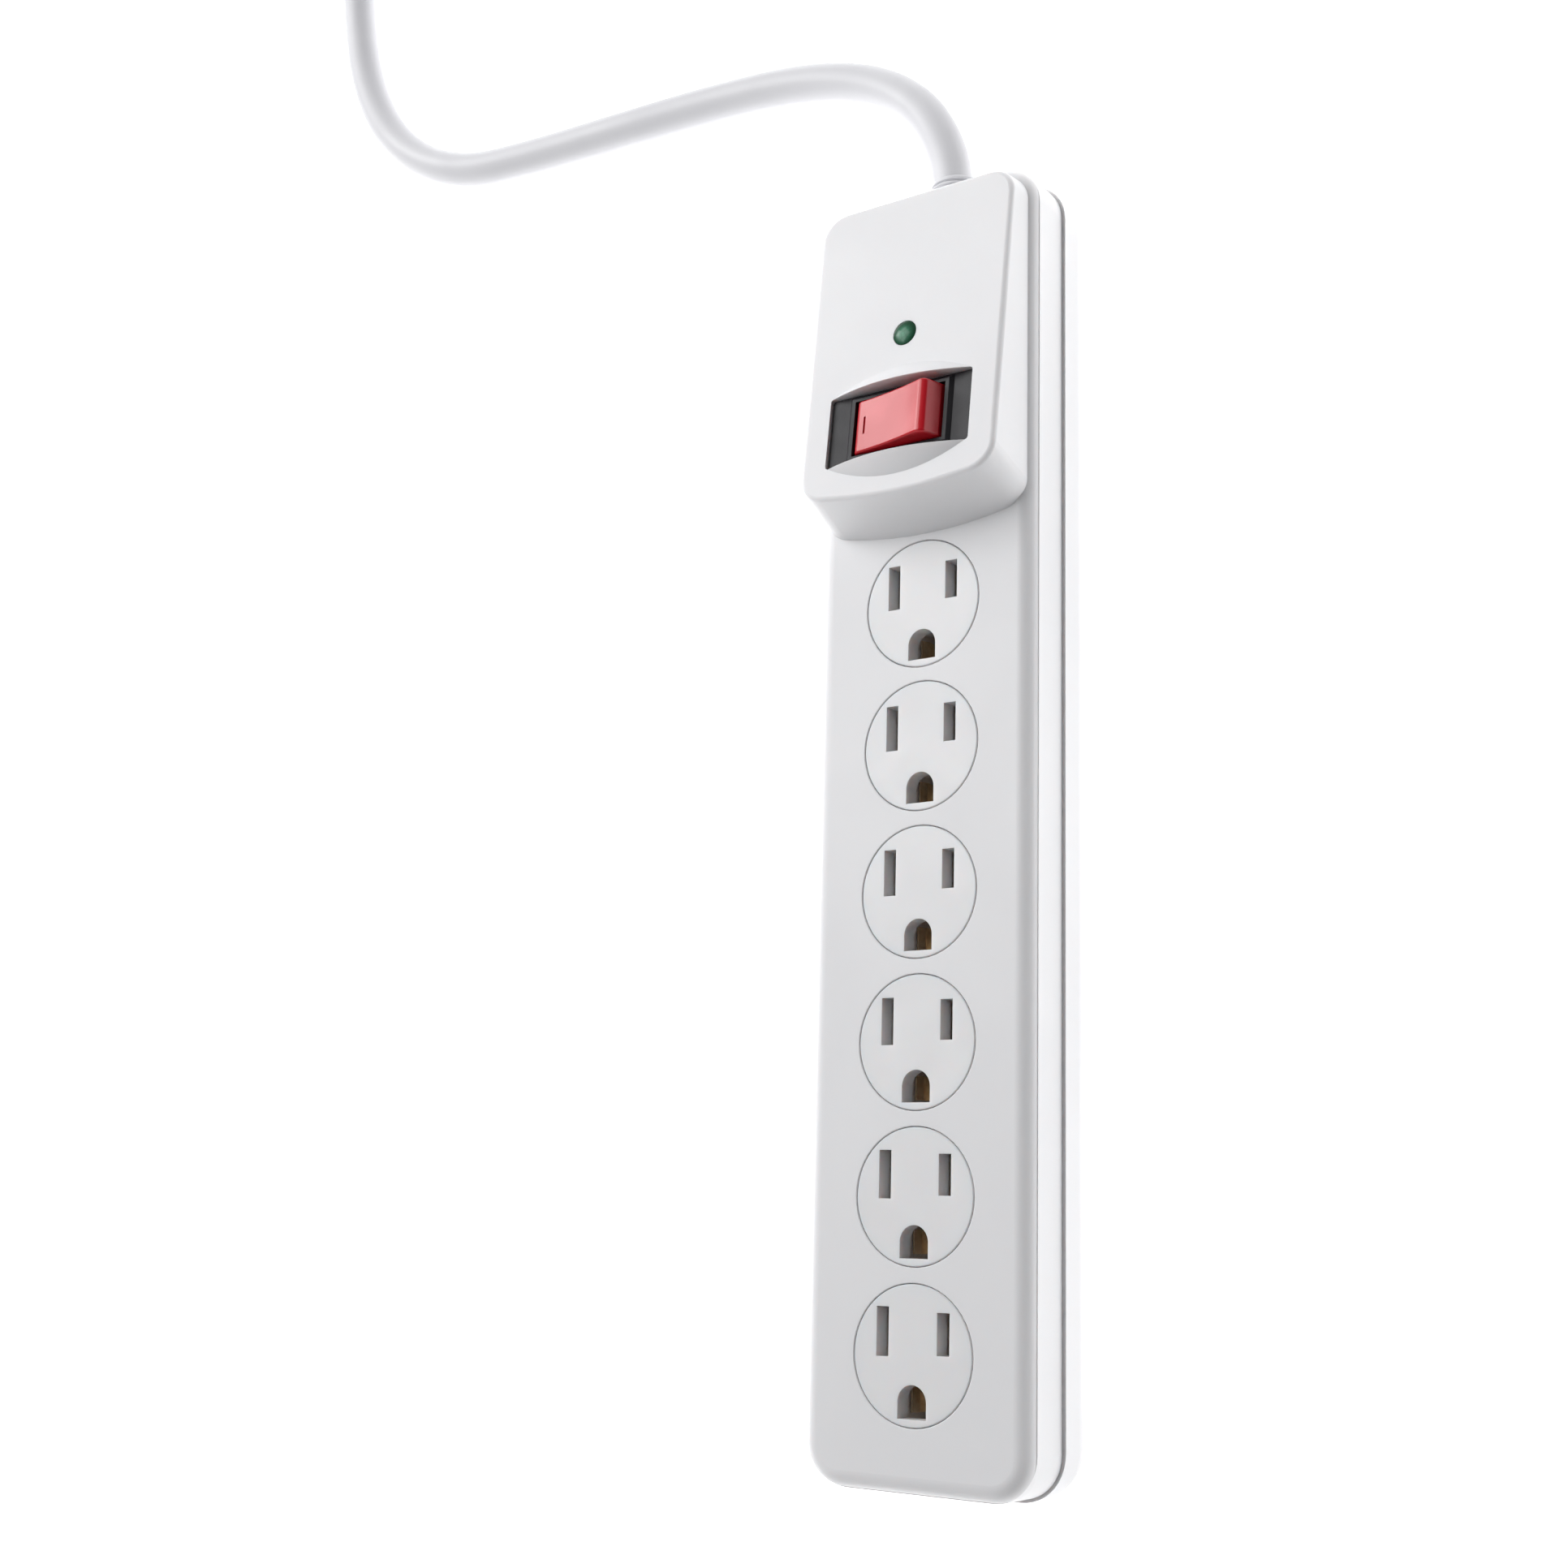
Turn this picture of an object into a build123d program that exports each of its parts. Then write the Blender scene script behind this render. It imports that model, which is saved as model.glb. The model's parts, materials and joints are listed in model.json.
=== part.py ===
from build123d import *
import math
import os

# Power strip: six grounded outlets in a row, with a raised pod at the cord end that
# carries a lamp and a rocker switch. X is the width, +Y runs towards the cord, +Z out
# of the outlets. The underside is z = 0 and the origin is under the case's middle.

# ---- driving dimensions, mm ----
case_length = 249.2
case_height = 23.5
crease_half_width = 23.8
face_half_width = 20.6
shoulder_radius = 3.1
valley_half_width = 23.35
valley_drop = 3.3
lip_drop = 2.6
valley_slope_deg = 25.0
side_flare_deg = 3.0
base_half_width = 24.4
base_draft_deg = 3.5
base_corner_radius = 9.0
base_edge_radius = 6.3
parting_height = 11.9
parting_groove = 0.2
wall = 2.2

outlet_count = 6
outlet_pitch = 27.7
first_slot_line = 42.3
slot_spacing = 12.7
slot_width = 2.6
neutral_slot_height = 8.7
hot_slot_height = 7.4
ground_hole_width = 6.0
ground_hole_height = 5.9
ground_drop = 11.9
outlet_face_radius = 12.5
outlet_face_drop = 3.9
outlet_gap = 0.14

pod_foot_y = 49.6
pod_crest_y = 56.5
pod_top_y = 121.5
pod_half_width = 21.6
pod_flare = 1.1
pod_corner_radius = 5.6
pod_height_at_crest = 34.9
pod_edge_radius = 1.0
pod_slope = 0.112
pod_foot_bow = 3.0
pod_crest_bow = 2.2

lamp_y = 90.5
lamp_radius = 2.5

switch_y = 72.3
switch_length = 32.0
switch_width = 15.0
rocker_top_half = 8.8
rocker_half = 9.8
rocker_half_width = 5.5
rocker_crest_radius = 1.5
rocker_top = 5.1
rocker_pivot_depth = 2.95
rocker_tilt_deg = 11.5
window_half = 10.15
pin_radius = 1.3
running_gap = 0.06
guard_rise = 2.7
guard_half = 15.4
guard_depth = 3.9

cord_radius = 4.2
cord_exit_height = 12.5
coil_radius = 42.0
coil_half_width = 8.6
coil_height = 16.9
coil_turns = 2.25
plug_distance = 66.0
tie_thickness = 0.8
coil_lift = 1.0

# ---- worked-out places ----
half_length = case_length / 2
outlet_lines = [first_slot_line - outlet_pitch * i for i in range(outlet_count)]
pod_angle = math.degrees(math.atan(pod_slope))
switch_z = pod_height_at_crest - pod_slope * (switch_y - pod_crest_y)
lamp_z = pod_height_at_crest - pod_slope * (lamp_y - pod_crest_y)
panel_normal = Vector(0, math.sin(math.radians(pod_angle)), math.cos(math.radians(pod_angle)))
switch_plane = Plane(origin=(0, switch_y, switch_z), x_dir=(1, 0, 0), z_dir=panel_normal)
lamp_plane = Plane(origin=(0, lamp_y, lamp_z), x_dir=(1, 0, 0), z_dir=panel_normal)
screw_places = [(x, y) for y in (-113.5, 47.5, 113.0) for x in (-16.8, 16.8)]
keyhole_lines = (-80.0, 20.0)
nodes = {}


def block(low, high):
    """A box between two corners."""
    size = [b - a for a, b in zip(low, high)]
    middle = [(a + b) / 2 for a, b in zip(low, high)]
    return Pos(*middle) * Box(*size)


def rod(x, y, low, high, radius):
    """An upright cylinder."""
    return Pos(x, y, (low + high) / 2) * Cylinder(radius, high - low)


def slab(half_x, half_y, corner, low, high, taper=0.0, middle_y=0.0):
    """A rounded rectangle raised from low to high; it narrows by taper degrees."""
    outline = Pos(0, middle_y, low) * RectangleRounded(2 * half_x, 2 * half_y, corner)
    return extrude(outline, high - low, taper=taper)


def on_switch(shape):
    """Moves a shape from the switch's own frame, panel level at zero, to the case."""
    return switch_plane.location * shape


def tube(points, radius, radii=None):
    """A round wire along straight runs joined by tangent arcs."""
    vectors = [Vector(*p) for p in points]
    runs = [b - a for a, b in zip(vectors, vectors[1:])]
    if radii is None:
        radii = corner_radii(points)
    path = FilletPolyline(*vectors, radius=radii) if len(points) > 2 else Polyline(*vectors)
    start = Plane(origin=vectors[0], z_dir=runs[0])
    return sweep(start * Circle(radius), path=path), path


def corner_radii(points):
    """Each corner's arc: 0.45 of the shorter run, over the tangent of half the turn."""
    vectors = [Vector(*p) for p in points]
    runs = [b - a for a, b in zip(vectors, vectors[1:])]
    return [
        0.45 * min(a.length, b.length) / math.tan(math.radians(a.get_angle(b) / 2))
        for a, b in zip(runs, runs[1:])
    ]


# ---- case ----
def cover_outside():
    """The upper shell's outer body: flared sides, a rounded face and a low lip round it."""
    flare = math.tan(math.radians(side_flare_deg)) * (case_height - lip_drop - parting_height)
    half_x = crease_half_width + flare
    end = half_length - base_half_width + half_x
    body = slab(half_x, end, base_corner_radius, parting_height, case_height + 0.5, side_flare_deg)
    cap_half = face_half_width + shoulder_radius
    cap_end = half_length - base_half_width + cap_half
    cap = slab(cap_half, cap_end, base_corner_radius - 1.0, 0, case_height)
    rim = cap.edges().group_by(Axis.Z)[-1]
    cap = fillet(rim, shoulder_radius)
    lip_low = case_height - valley_drop
    inside = slab(
        valley_half_width, half_length - base_half_width + valley_half_width,
        base_corner_radius - 0.5, lip_low, case_height, -valley_slope_deg,
    )
    top = case_height - lip_drop
    lip = body & block((-40, -half_length, lip_low), (40, half_length, top))
    return (body & cap) + (lip - inside)


def pod_outline(half_x, foot, top, corner, bow):
    """The pod's outline: straight sides, a bowed lower edge and rounded corners."""
    lower = ThreePointArc((-half_x, foot + bow), (0, foot), (half_x, foot + bow))
    sides = Polyline((half_x, foot + bow), (half_x, top), (-half_x, top), (-half_x, foot + bow))
    face = make_face(lower + sides)
    return fillet(face.vertices(), corner)


def pod_solid(inset, low):
    """The pod as a loft from its foot to its sloping top, inset on every side."""
    half_x = pod_half_width - inset
    foot = pod_outline(
        half_x + pod_flare, pod_foot_y + inset, pod_top_y - inset, pod_corner_radius - inset, pod_foot_bow
    )
    crest = pod_outline(
        half_x, pod_crest_y + inset, pod_top_y - inset - 0.6, pod_corner_radius - inset,
        pod_crest_bow,
    )
    top_height = pod_height_at_crest + 6
    shift = (pod_crest_y - pod_foot_y) * 6 / (pod_height_at_crest - case_height)
    raised = pod_outline(
        half_x - 0.4, pod_crest_y + inset + shift, pod_top_y - inset - 1.0,
        pod_corner_radius - inset, pod_crest_bow,
    )
    shape = loft([Pos(0, 0, low) * foot, Pos(0, 0, top_height) * raised])
    plane_z = pod_height_at_crest - inset
    cutter = Plane(
        origin=(0, pod_crest_y, plane_z), x_dir=(1, 0, 0), z_dir=panel_normal
    ).location * Pos(0, 30, 15) * Box(80, 160, 30)
    return shape - cutter


def guard(side):
    """A crescent lip beside the switch: an arch that sinks into the panel away from it."""
    sink = math.atan(guard_rise / guard_depth)
    rise = guard_rise * math.cos(sink)
    radius = (guard_half**2 + rise**2) / (2 * rise)
    near = side * switch_width / 2
    far = near + side * (guard_depth + 0.5)
    axis_height = guard_rise - radius / math.cos(sink)
    turn = 90 - side * math.degrees(sink)
    drum = Pos(0, near, axis_height) * Rot(turn, 0, 0) * Cylinder(radius, 200)
    strip = block((-guard_half, min(near, far), -1.2), (guard_half, max(near, far), guard_rise + 1))
    return on_switch(drum & strip)


def ground_shape(grow=0.0):
    """The ground hole: flat at the bottom, round at the top."""
    half = ground_hole_width / 2 + grow
    low = -ground_hole_height / 2 - grow
    shoulder = ground_hole_height / 2 - ground_hole_width / 2
    return make_face(
        Polyline((-half, shoulder), (-half, low), (half, low), (half, shoulder))
        + ThreePointArc((half, shoulder), (0, shoulder + half), (-half, shoulder))
    )


def top_cover():
    shell = cover_outside()
    pod = pod_solid(0, parting_height + 6)
    crest = [e for e in pod.edges() if e.center().Z > 26 and on_panel(e)]
    pod = fillet(crest, pod_edge_radius)
    pod = pod & block((-30, 40, 0), (30, pod_top_y + 2, 60))
    shell = shell + pod
    shell = shell + guard(1) + guard(-1)
    hollow = slab(
        crease_half_width - wall, half_length - 1.2 - wall, 7.8, parting_height - 1,
        case_height - wall,
    )
    shell = shell - hollow - pod_solid(wall, parting_height + 2)
    for x, y in screw_places:
        roof = case_height - 0.8
        under_pod = pod_height_at_crest - pod_slope * (y - pod_crest_y) - 1.3
        boss_top = under_pod if y > pod_crest_y else roof
        shell = shell + rod(x, y, parting_height + 0.1, boss_top, 3.3)
        shell = shell - rod(x, y, parting_height - 1, roof - 3.2, 1.2)
    for line in outlet_lines:
        shell = shell - rod(0, line - outlet_face_drop, 15, 30, outlet_face_radius)
        rim = Pos(0, line - outlet_face_drop, case_height - 0.1) * Cone(
            outlet_face_radius - 0.05, outlet_face_radius + 0.15, 0.2
        )
        shell = shell - rim
    opening = Pos(0, 0, -5) * Box(switch_length, switch_width, 14)
    opening = fillet(opening.edges().filter_by(Axis.Z), 0.7)
    shell = shell - on_switch(opening)
    shell = shell - lamp_plane.location * Cylinder(lamp_radius + 0.1, 14)
    shell = shell - cord_hole()
    return shell - parting_cut()


def on_panel(edge):
    """Whether an edge lies in the pod's sloping top."""
    middle = edge @ 0.5
    plane_z = pod_height_at_crest - pod_slope * (middle.Y - pod_crest_y)
    return abs(middle.Z - plane_z) < 0.05


def cord_hole():
    """The round way out through the end wall."""
    place = Pos(0, half_length, cord_exit_height) * Rot(90, 0, 0)
    return place * Cylinder(cord_radius + 1.7, 12)


def parting_cut():
    """A fine groove round the case where the two shells meet."""
    half = parting_groove / 2
    deep = base_half_width - 0.2 - parting_groove
    outer = slab(40, half_length + 10, 10, parting_height - half, parting_height + half)
    inner = slab(
        deep, half_length - base_half_width + deep, base_corner_radius - 0.5, parting_height - 1,
        parting_height + 1,
    )
    return outer - inner


def bottom_cover():
    draft = math.tan(math.radians(base_draft_deg)) * parting_height
    foot_half = base_half_width - draft
    body = slab(
        foot_half, half_length - draft, base_corner_radius - draft, 0, parting_height,
        -base_draft_deg,
    )
    body = fillet(body.edges().group_by(Axis.Z)[0], base_edge_radius)
    hollow_half = crease_half_width - wall
    hollow = slab(
        hollow_half, half_length - base_half_width + hollow_half, 7.4, wall, parting_height + 5
    )
    hollow = fillet(hollow.edges().group_by(Axis.Z)[0], base_edge_radius - wall + 0.5)
    body = body - hollow
    lip_half = crease_half_width - wall - 0.15
    lip_end = half_length - 1.35 - wall
    lip = slab(lip_half, lip_end, 7.6, parting_height - 1.5, parting_height + 1.6)
    ledge = slab(lip_half + 1.2, lip_end + 1.2, 8.0, parting_height - 1.9, parting_height - 0.4)
    inside = slab(lip_half - 1.1, lip_end - 1.1, 6.6, parting_height - 3, parting_height + 3)
    body = body + (lip + ledge - inside)
    for x, y in screw_places:
        body = body + rod(x, y, 1, parting_height, 3.3)
        body = body - rod(x, y, -1, parting_height + 1, 1.7)
        body = body - rod(x, y, -1, 3.6, 2.9)
    for line in keyhole_lines:
        body = body + block((-7, line - 6.5, 1), (7, line + 13, 7.2))
        body = body - block((-6, line - 5.5, wall), (6, line + 12, 6.2))
        body = body - rod(0, line, -1, wall + 1, 4.25)
        body = body - block((-2.1, line, -1), (2.1, line + 8, wall + 1))
        body = body - rod(0, line + 8, -1, wall + 1, 2.1)
    for y in (-104, -52, -24.5, 3.2, 36):
        body = body + block((-11, y - 0.8, 1), (11, y + 0.8, 8.2))
    body = body - cord_hole()
    saddle = block((-9, 110.6, 1), (9, 112.6, cord_exit_height - 0.2))
    saddle = saddle - Pos(0, 111.6, cord_exit_height) * Rot(90, 0, 0) * Cylinder(cord_radius + 2.7, 8)
    body = body + saddle
    return body - parting_cut()


def outlet_face(line):
    """One round outlet front with its three openings and a flange behind the cover."""
    middle = line - outlet_face_drop
    radius = outlet_face_radius - outlet_gap
    face = rod(0, middle, case_height - wall - 0.1, case_height, radius)
    face = chamfer(face.edges().group_by(Axis.Z)[-1], 0.18)
    face = face + rod(0, middle, case_height - wall - 1.3, case_height - wall - 0.1, radius + 1.2)
    face = face & block((-30, line - 17.6, 0), (30, line + 9.9, 60))
    half_gap = slot_spacing / 2
    for x, height in ((-half_gap, neutral_slot_height), (half_gap, hot_slot_height)):
        face = face - Pos(x, line, case_height - 2) * Box(slot_width, height, 8)
    hole = extrude(Pos(0, line - ground_drop, case_height - 6) * ground_shape(), 9)
    return face - hole


# ---- contacts ----
carrier_top = case_height - wall - 1.5
carrier_low = 8.4
strip_level = 9.2
bus_end = 50.0
bus_start = outlet_lines[-1] - ground_drop - 6


def contact_carrier():
    """The moulded block under the outlets, with a pocket for each contact."""
    body = block((-12.5, bus_start - 3, carrier_low), (12.5, bus_end, carrier_top))
    half_gap = slot_spacing / 2
    for line in outlet_lines:
        for x in (-half_gap, half_gap):
            body = body - block((x - 2.3, line - 5, strip_level), (x + 2.3, line + 5, 30))
        drop = line - ground_drop
        body = body - block((-3.7, drop - 3.9, strip_level), (3.7, drop + 3.9, 30))
    for x, half in ((-half_gap, 2.5), (half_gap, 2.5), (0, 3.2)):
        channel = block((x - half, bus_start - 4, 0), (x + half, bus_end + 3, strip_level + 1.0))
        body = body - channel
    return body


def bus_bar(x, half, offset, leaf_gap, leaf_half):
    """A brass strip with a pair of upright spring leaves at every outlet."""
    bar = block((x - half, bus_start, strip_level), (x + half, bus_end + 2, strip_level + 0.8))
    for line in outlet_lines:
        middle = line - offset
        for side in (-1, 1):
            foot = x + side * leaf_gap
            profile = Polyline(
                (foot, strip_level + 0.4),
                (foot + side * 0.5, strip_level + 0.4),
                (foot + side * 0.5, carrier_top - 3.0),
                (foot + side * 0.9, carrier_top - 1.4),
                (foot + side * 0.5, carrier_top - 1.2),
                (foot, carrier_top - 3.0),
                (foot, strip_level + 0.4),
            )
            outline = Plane.XZ * make_face(profile)
            leaf = Pos(0, middle + leaf_half, 0) * extrude(outline, 2 * leaf_half)
            bar = bar + leaf
    return bar


# ---- switch ----
def switch_housing():
    """The black switch body: a face with a raised frame round the rocker, and a box."""
    face = Pos(0, 0, -1.6) * Box(switch_length - 0.3, switch_width - 0.3, 1.5)
    face = fillet(face.edges().filter_by(Axis.Z), 0.6)
    frame = Pos(0, 0, -0.75) * Box(2 * window_half + 3.0, 2 * rocker_half_width + 3.2, 1.3)
    frame = chamfer(frame.edges().group_by(Axis.Z)[-1], 0.7)
    flange = Pos(0, 0, -2.9) * Box(switch_length + 4, switch_width + 2.6, 1.2)
    flange = fillet(flange.edges().filter_by(Axis.Z), 2.5)
    body = Pos(0, 0, -11.2) * Box(25, 14.4, 16)
    shape = face + frame + flange + body
    window = Pos(0, 0, -4.5) * Box(2 * window_half, 2 * rocker_half_width + 0.6, 12)
    chamber = Pos(0, 0, -12.6) * Box(22, 11.0, 10.6)
    shape = shape - window - chamber
    pivots = Pos(0, 0, -rocker_pivot_depth) * Rot(90, 0, 0)
    shape = shape - pivots * Cylinder(pin_radius + running_gap, 2 * rocker_half_width + 2.6)
    for x in (-7.5, 0, 7.5):
        shape = shape - Pos(x, 0, -18) * Box(1.0, 6.6, 6)
    return on_switch(shape)


def tilted(shape):
    """Turns a rocker part from level to its resting tilt about the pivot."""
    pivot = Pos(0, 0, -rocker_pivot_depth)
    return on_switch(pivot * Rot(0, -rocker_tilt_deg, 0) * shape)


def rocker():
    """The red key: dished top, drafted ends, round underside, hollow below."""
    dish = 0.45
    lower = -2.6
    end_radius = math.hypot(rocker_half, 1.0)
    lower_half = math.sqrt(end_radius**2 - lower**2)
    profile = (
        ThreePointArc((-rocker_top_half, rocker_top), (0, rocker_top - dish),
                      (rocker_top_half, rocker_top))
        + Line((rocker_top_half, rocker_top), (rocker_half, 1.0))
        + ThreePointArc((rocker_half, 1.0), (end_radius, 0), (lower_half, lower))
        + Line((lower_half, lower), (-lower_half, lower))
        + ThreePointArc((-lower_half, lower), (-end_radius, 0), (-rocker_half, 1.0))
        + Line((-rocker_half, 1.0), (-rocker_top_half, rocker_top))
    )
    width = 2 * rocker_half_width
    key = Pos(0, width / 2, 0) * extrude(Plane.XZ * make_face(profile), width)
    crests = key.edges().filter_by(
        lambda e: e.center().Z > rocker_top - 0.1 and abs(e.center().X) > rocker_top_half - 0.1
        and abs(e.center().Y) < 1
    )
    key = fillet(crests, rocker_crest_radius)
    key = fillet(key.edges().filter_by(lambda e: e.center().Z > rocker_top - 1.6), 0.4)
    hollow = Pos(0, 0, -1.0) * Box(2 * rocker_half - 2.6, width - 2.4, 6.4)
    key = key - hollow
    holder = Pos(0, 0, -0.8) * Cylinder(2.5, 7.2) - Pos(0, 0, -2.4) * Cylinder(1.5, 8)
    pins = Rot(90, 0, 0) * Cylinder(pin_radius, width + 2.2)
    pins = pins - Rot(90, 0, 0) * Cylinder(pin_radius + 1, width - 1.0)
    mark = Pos(-6.4, 0, rocker_top - 0.25) * Box(0.5, 3.6, 0.5)
    return tilted(key + holder + pins - mark)


def plunger():
    """The round-nosed pin that the spring pushes against the contact arm."""
    stem = Pos(0, 0, -5.4) * Cylinder(1.35, 6.4)
    return tilted(stem + Pos(0, 0, -8.6) * Sphere(1.35))


def rocker_spring():
    """The compression spring above the plunger."""
    helix = Helix(pitch=0.62, height=3.2, radius=1.0)
    section = Plane(origin=helix @ 0, z_dir=helix % 0) * Circle(0.18)
    return tilted(Pos(0, 0, -1.8) * sweep(section, path=helix))


arm_level = -14.2
arm_tilt_deg = 5.75
contact_x = 7.0


def contact_arm():
    """The copper rocker arm with a contact button under each end."""
    strip = Pos(0, 0, 0.45) * Box(17, 4.6, 0.7)
    for x in (-contact_x, contact_x):
        strip = strip + Pos(x, 0, -0.35) * Cylinder(1.6, 0.95)
    return on_switch(Pos(0, 0, arm_level) * Rot(0, arm_tilt_deg, 0) * strip)


def switch_terminal(x, top):
    """A spade terminal through the switch floor, with its inner seat."""
    blade = Pos(x * 7.5, 0, -20.7) * Box(0.8, 6.3, 7.6)
    neck = Pos(x * 7.5, 0, (top - 17) / 2) * Box(0.8, 4.0, top + 17)
    seat = Pos(x * (contact_x + 0.2), 0, top - 0.3) * Box(3.4 if x else 2.0, 4.0, 0.6)
    return on_switch(blade + neck + seat)


# ---- lamp and board ----
board_level = 15.2
board_low_y = 82.4
board_high_y = 105.6


def lamp_lens():
    """The green lens: a low dome on a stem that carries the light up."""
    head = Cylinder(lamp_radius, 3.4, align=(Align.CENTER, Align.CENTER, Align.MAX))
    dome_radius = 5.6
    dome = Pos(0, 0, 0.62 - dome_radius) * Sphere(dome_radius)
    cap = dome & Pos(0, 0, 0.35) * Cylinder(lamp_radius, 0.7)
    flange = Pos(0, 0, -2.8) * Cylinder(lamp_radius + 0.9, 0.9)
    stem = Pos(0, 0, -4.6) * Cylinder(1.7, 3.2)
    return lamp_plane.location * (head + cap + flange + stem)


def lamp_led():
    body = rod(0, lamp_y, board_level + 1.6, board_level + 5.4, 1.5)
    return body + Pos(0, lamp_y, board_level + 5.4) * Sphere(1.5)


def surge_board():
    board = block((-17.5, board_low_y, board_level), (17.5, board_high_y, board_level + 1.6))
    return fillet(board.edges().filter_by(Axis.Z), 1.0)


def varistor(x, y):
    """A disc-shaped surge absorber standing on the board, coated and rounded."""
    disc = Rot(0, 90, 0) * Cylinder(4.6, 3.4)
    disc = fillet(disc.edges(), 1.2)
    legs = Pos(0, -2.5, -4.4) * Box(0.7, 0.7, 2) + Pos(0, 2.5, -4.4) * Box(0.7, 0.7, 2)
    return Pos(x, y, board_level + 1.6 + 5.4) * (disc + legs)


def thermal_fuse():
    body = Pos(-6.5, 101, board_level + 3.6) * Rot(0, 90, 0) * Cylinder(1.9, 9)
    return fillet(body.edges(), 0.5)


def filter_capacitor():
    box = block((2.5, 95.5, board_level + 1.6), (13.5, 101.5, board_level + 9.6))
    return fillet(box.edges(), 0.6)


# ---- cord ----
coil_middle = (-148.0, 294.0)
strand_offset = cord_radius + 0.1
entry_x = coil_middle[0] - coil_radius - strand_offset
coil_level = coil_lift + cord_radius
top_strand = coil_lift + coil_height - cord_radius
cord_route = [
    (0, 109, cord_exit_height),
    (0, 128.5, cord_exit_height),
    (-4.4, 142.0, 11.2),
    (-12.6, 153.4, 9.2),
    (-26.0, 163.0, 6.8),
    (-43.5, 169.4, 5.0),
    (-66.0, 172.6, cord_radius),
    (-95.5, 174.3, cord_radius),
    (-125.5, 175.6, cord_radius),
    (-151.0, 178.2, cord_radius),
    (-172.8, 190.6, cord_radius),
    (-187.0, 211.0, cord_radius),
    (-193.2, 236.0, cord_radius),
    (entry_x, 262.0, coil_level),
    (entry_x, coil_middle[1] - 13, coil_level),
]
tail_y = coil_middle[1] + coil_radius
plug_x = coil_middle[0] + plug_distance
plug_level = top_strand
tail_route = [(coil_middle[0] + 25, tail_y, top_strand), (plug_x, tail_y, plug_level)]


def relief():
    """The tapered sleeve that holds the cord in the end wall."""
    inside = Pos(0, 0, -7.7) * Cylinder(cord_radius + 2.6, 10)
    neck = Pos(0, 0, -0.2) * Cylinder(cord_radius + 1.6, 5)
    flange = Pos(0, 0, 2.8) * Cylinder(cord_radius + 2.2, 1.2)
    nose = Pos(0, 0, 4.8) * Cone(cord_radius + 1.5, cord_radius + 0.7, 3.8)
    sleeve = Pos(0, 0, -0.4) * (inside + neck + flange + nose)
    place = Pos(0, half_length - 1.7, cord_exit_height) * Rot(-90, 0, 0)
    return place * sleeve - cord


def cord_coil():
    """The wound length as one ring with rounded edges."""
    section = Pos(coil_radius, coil_height / 2 + coil_lift) * RectangleRounded(
        2 * coil_half_width, coil_height, cord_radius - 0.2
    )
    ring = revolve(Plane.XZ * section, Axis.Z)
    return Pos(*coil_middle, 0) * ring


def cord_tie():
    """The strap round the coil's turns, with its head."""
    inner = Box(2 * coil_half_width + 0.3, 5.0, coil_height + 0.3)
    strap = Box(2 * coil_half_width + 0.3 + 2 * tie_thickness, 5.0,
                coil_height + 0.3 + 2 * tie_thickness)
    strap = fillet(strap.edges().filter_by(Axis.Y), 3.4)
    inner = fillet(inner.edges().filter_by(Axis.Y), 2.8)
    head = Pos(0, 0, coil_height / 2 + 1.6) * Box(7.5, 6.4, 2.6)
    head = fillet(head.edges(), 0.6)
    shape = strap - inner + (head - inner)
    return Pos(coil_middle[0], coil_middle[1] - coil_radius, coil_height / 2 + coil_lift) * Rot(
        0, 0, 90
    ) * shape


plug_length = 30.0
plug_half_width = 13.0
plug_low = -plug_level
plug_high = 9.4
blade_rise = 3.9
blade_length = 16.0


def on_plug(shape):
    """Moves a shape from the plug's own frame, X along the cord, to its place."""
    return Pos(plug_x, tail_y, plug_level) * shape


def plug_body():
    """The moulded plug: a boxy head that narrows to a ribbed sleeve on the cord."""
    middle = (plug_low + plug_high) / 2
    height = plug_high - plug_low
    front = Plane.YZ * Pos(0, middle) * RectangleRounded(2 * plug_half_width, height, 6)
    front = Pos(24 + plug_length, 0, 0) * front
    back = Plane.YZ * Pos(0, middle) * RectangleRounded(2 * plug_half_width - 3, height - 2, 6)
    back = Pos(40, 0, 0) * back
    neck = Pos(24, 0, 0) * (Plane.YZ * Pos(0, -0.6) * RectangleRounded(15.6, 14.4, 5.6))
    head = loft([back, front])
    throat = loft([neck, back])
    sleeve = Pos(12.2, 0, 0) * Rot(0, 90, 0) * Cone(cord_radius + 1.2, cord_radius + 3.0, 24.4)
    shape = head + throat + sleeve
    for i in range(4):
        ring = Rot(0, 90, 0) * (Cylinder(9, 1.5) - Cylinder(cord_radius + 1.1 + 0.28 * i, 1.5))
        shape = shape - Pos(4.4 + 4.4 * i, 0, 0) * ring
    return on_plug(shape)


def plug_blade(side):
    blade = block((0, -0.75, -3.17), (blade_length, 0.75, 3.17))
    tip = blade.faces().sort_by(Axis.X)[-1].edges()
    blade = chamfer(tip, 0.5)
    return on_plug(Pos(24 + plug_length, side * slot_spacing / 2, blade_rise) * blade)


def plug_ground_pin():
    pin = Pos(7.6, 0, 0) * Rot(0, 90, 0) * Cylinder(2.38, 15.2) + Pos(15.2, 0, 0) * Sphere(2.38)
    return on_plug(Pos(24 + plug_length, 0, blade_rise - ground_drop) * pin)


# ---- screws and inner leads ----
lead_radius = 1.2
spade_foot_y = switch_y - 25.0 * panel_normal.Y
spade_foot_z = switch_z - 25.0 * panel_normal.Z
strip_end = (bus_end + 2.4, strip_level + 0.4)


def cover_screws():
    """Six pan-head screws that hold the two shells together."""
    screws = []
    for x, y in screw_places:
        screw = rod(x, y, 1.4, 3.5, 2.7) + rod(x, y, 3.4, 18.5, 1.14)
        for size in ((3.2, 0.7), (0.7, 3.2)):
            screw = screw - Pos(x, y, 1.5) * Box(*size, 1.6)
        screws.append(screw)
    return Compound(children=screws)


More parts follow.
